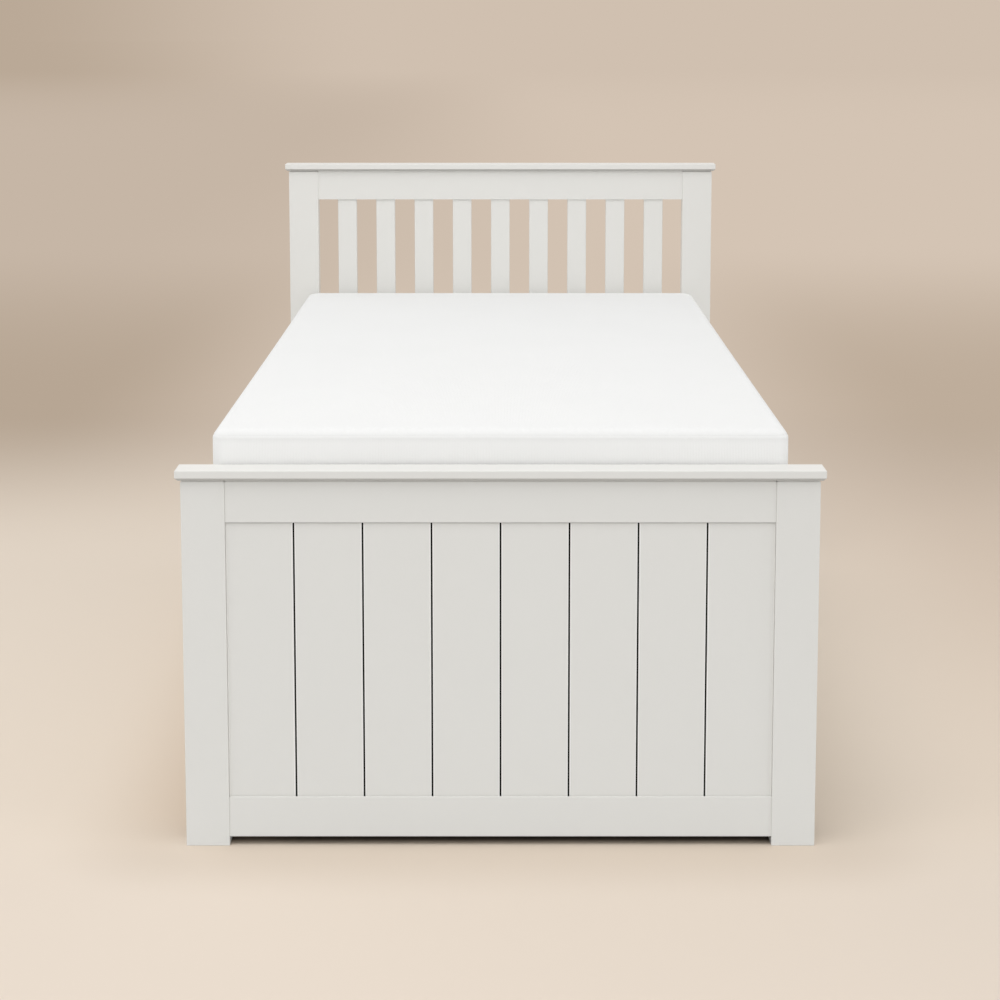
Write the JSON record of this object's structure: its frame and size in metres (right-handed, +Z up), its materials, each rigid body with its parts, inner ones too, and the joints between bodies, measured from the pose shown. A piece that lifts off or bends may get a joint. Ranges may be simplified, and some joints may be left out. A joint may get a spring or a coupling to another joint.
{
  "type": "captains bed",
  "caption": "Painted single bed with a boarded foot end, slatted head end, mattress, storage drawers and a pull-out trundle on castors.",
  "frame": {"origin": "on the floor, under the middle of the bed", "axes": "+Z up, +Y from the foot end to the head end along the bed's length, +X towards the open side that the drawers and the trundle come out of"},
  "size_m": [1.006, 2.024, 0.957],
  "materials": {
    "paint": "satin",
    "pine": "satin",
    "ticking": "matte",
    "wheel": "satin"
  },
  "bodies": {
    "bedstead": {"foot_post_left": "paint", "foot_post_right": "paint", "foot_cap_rail": "paint", "foot_top_rail": "paint", "foot_bottom_rail": "paint", "foot_board_1": "paint", "foot_board_2": "paint", "foot_board_3": "paint", "foot_board_4": "paint", "foot_board_5": "paint", "foot_board_6": "paint", "foot_board_7": "paint", "foot_board_8": "paint", "head_post_left": "paint", "head_post_right": "paint", "head_cap_rail": "paint", "head_top_rail": "paint", "head_middle_rail": "paint", "head_bottom_rail": "paint", "head_lower_panel": "paint", "head_slat_1": "paint", "head_slat_2": "paint", "head_slat_3": "paint", "head_slat_4": "paint", "head_slat_5": "paint", "head_slat_6": "paint", "head_slat_7": "paint", "head_slat_8": "paint", "head_slat_9": "paint", "side_rail_open_side": "paint", "side_rail_wall_side": "paint", "mid_rail": "paint", "wall_rail": "paint", "slat_roll": "pine", "upright_1": "pine", "upright_2": "pine", "upright_3": "pine", "upright_4": "pine", "mattress": "ticking"},
    "drawer_1": {"drawer_1_front": "paint", "drawer_1_box": "pine", "drawer_1_knob_left": "paint", "drawer_1_knob_right": "paint"},
    "drawer_2": {"drawer_2_front": "paint", "drawer_2_box": "pine", "drawer_2_knob_left": "paint", "drawer_2_knob_right": "paint"},
    "drawer_3": {"drawer_3_front": "paint", "drawer_3_box": "pine", "drawer_3_knob_left": "paint", "drawer_3_knob_right": "paint"},
    "trundle": {"trundle_front": "paint", "trundle_frame": "pine", "trundle_slat_roll": "pine", "trundle_knob_left": "paint", "trundle_knob_right": "paint"},
    "castor_wheel_wall_foot": {"castor_wheel_wall_foot": "wheel"},
    "castor_wheel_wall_head": {"castor_wheel_wall_head": "wheel"},
    "castor_wheel_open_foot": {"castor_wheel_open_foot": "wheel"},
    "castor_wheel_open_head": {"castor_wheel_open_head": "wheel"}
  },
  "joints": [
    {"name": "drawer_1_slide", "type": "slide", "parent": "bedstead", "child": "drawer_1", "axis": [1, 0, 0], "range_m": [0, 0.45]},
    {"name": "drawer_2_slide", "type": "slide", "parent": "bedstead", "child": "drawer_2", "axis": [1, 0, 0], "range_m": [0, 0.45]},
    {"name": "drawer_3_slide", "type": "slide", "parent": "bedstead", "child": "drawer_3", "axis": [1, 0, 0], "range_m": [0, 0.45]},
    {"name": "trundle_slide", "type": "slide", "parent": "bedstead", "child": "trundle", "axis": [1, 0, 0], "range_m": [0, 0.86]},
    {"name": "castor_wall_foot_spin", "type": "hinge", "parent": "trundle", "child": "castor_wheel_wall_foot", "pos_m": [-0.3467, -0.91, 0.02], "axis": [0, 1, 0], "continuous": true},
    {"name": "castor_wall_head_spin", "type": "hinge", "parent": "trundle", "child": "castor_wheel_wall_head", "pos_m": [-0.3467, 0.91, 0.02], "axis": [0, 1, 0], "continuous": true},
    {"name": "castor_open_foot_spin", "type": "hinge", "parent": "trundle", "child": "castor_wheel_open_foot", "pos_m": [0.351, -0.91, 0.02], "axis": [0, 1, 0], "continuous": true},
    {"name": "castor_open_head_spin", "type": "hinge", "parent": "trundle", "child": "castor_wheel_open_head", "pos_m": [0.351, 0.91, 0.02], "axis": [0, 1, 0], "continuous": true}
  ],
  "couplings": [
    {"joint": "castor_wall_foot_spin", "follows": "trundle_slide", "rad_per_m": 50},
    {"joint": "castor_wall_head_spin", "follows": "trundle_slide", "rad_per_m": 50},
    {"joint": "castor_open_foot_spin", "follows": "trundle_slide", "rad_per_m": 50},
    {"joint": "castor_open_head_spin", "follows": "trundle_slide", "rad_per_m": 50}
  ]
}
